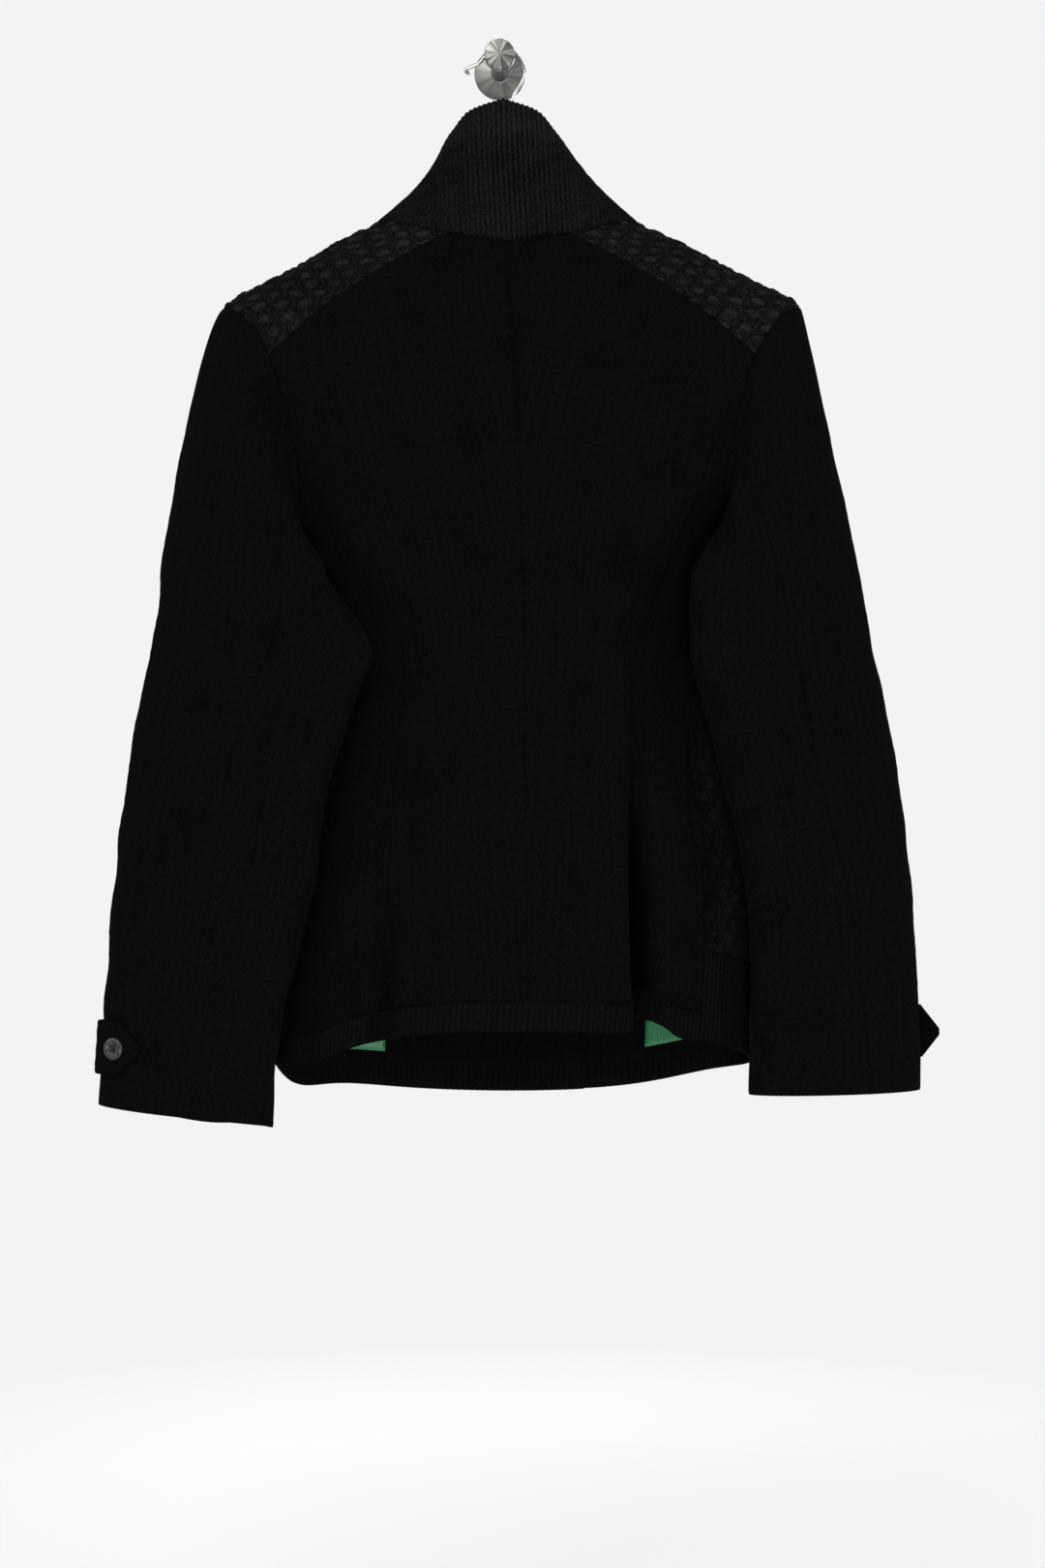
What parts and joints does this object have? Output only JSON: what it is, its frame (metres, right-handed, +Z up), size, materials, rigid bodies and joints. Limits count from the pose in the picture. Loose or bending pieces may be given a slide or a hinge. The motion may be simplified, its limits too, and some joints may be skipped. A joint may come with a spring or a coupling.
{
  "type": "knit jacket on a hanger and wall hook",
  "caption": "Black knit jacket with a ribbed stand collar and bobble-knit shoulders, hung by a hanger from a steel wall hook.",
  "frame": {"origin": "centre of the wall hook's rose, at its back face on the wall", "axes": "+Y into the wall, +Z up, +X to the right of someone who faces the wall and sees the jacket's back"},
  "size_m": [0.6444, 0.1277, 0.8473],
  "materials": {
    "plain_knit": "matte",
    "bobble_knit": "matte",
    "rib_knit": "matte",
    "green_lining": "satin",
    "buttons": "gloss",
    "brushed_steel": "brushed",
    "hanger_bar": "satin"
  },
  "bodies": {
    "root": {"back_left": "plain_knit", "back_right": "plain_knit", "side_back_left": "plain_knit", "side_back_right": "plain_knit", "sleeve_upper_left": "plain_knit", "sleeve_upper_right": "plain_knit", "sleeve_under_left": "plain_knit", "sleeve_under_right": "plain_knit", "cuff_tab_left": "plain_knit", "cuff_tab_right": "plain_knit", "facing_left": "plain_knit", "facing_right": "plain_knit", "yoke_left": "bobble_knit", "yoke_right": "bobble_knit", "front_left": "bobble_knit", "front_right": "bobble_knit", "collar": "rib_knit", "hem_band_back": "rib_knit", "front_rib_left": "rib_knit", "front_rib_right": "rib_knit", "lining_left": "green_lining", "lining_right": "green_lining", "cuff_button_left": "buttons", "cuff_button_right": "buttons", "front_button_1": "buttons", "front_button_2": "buttons", "front_button_3": "buttons", "front_button_4": "buttons", "wall_hook": "brushed_steel", "hanger_hook": "brushed_steel", "hanger": "hanger_bar"}
  },
  "joints": []
}
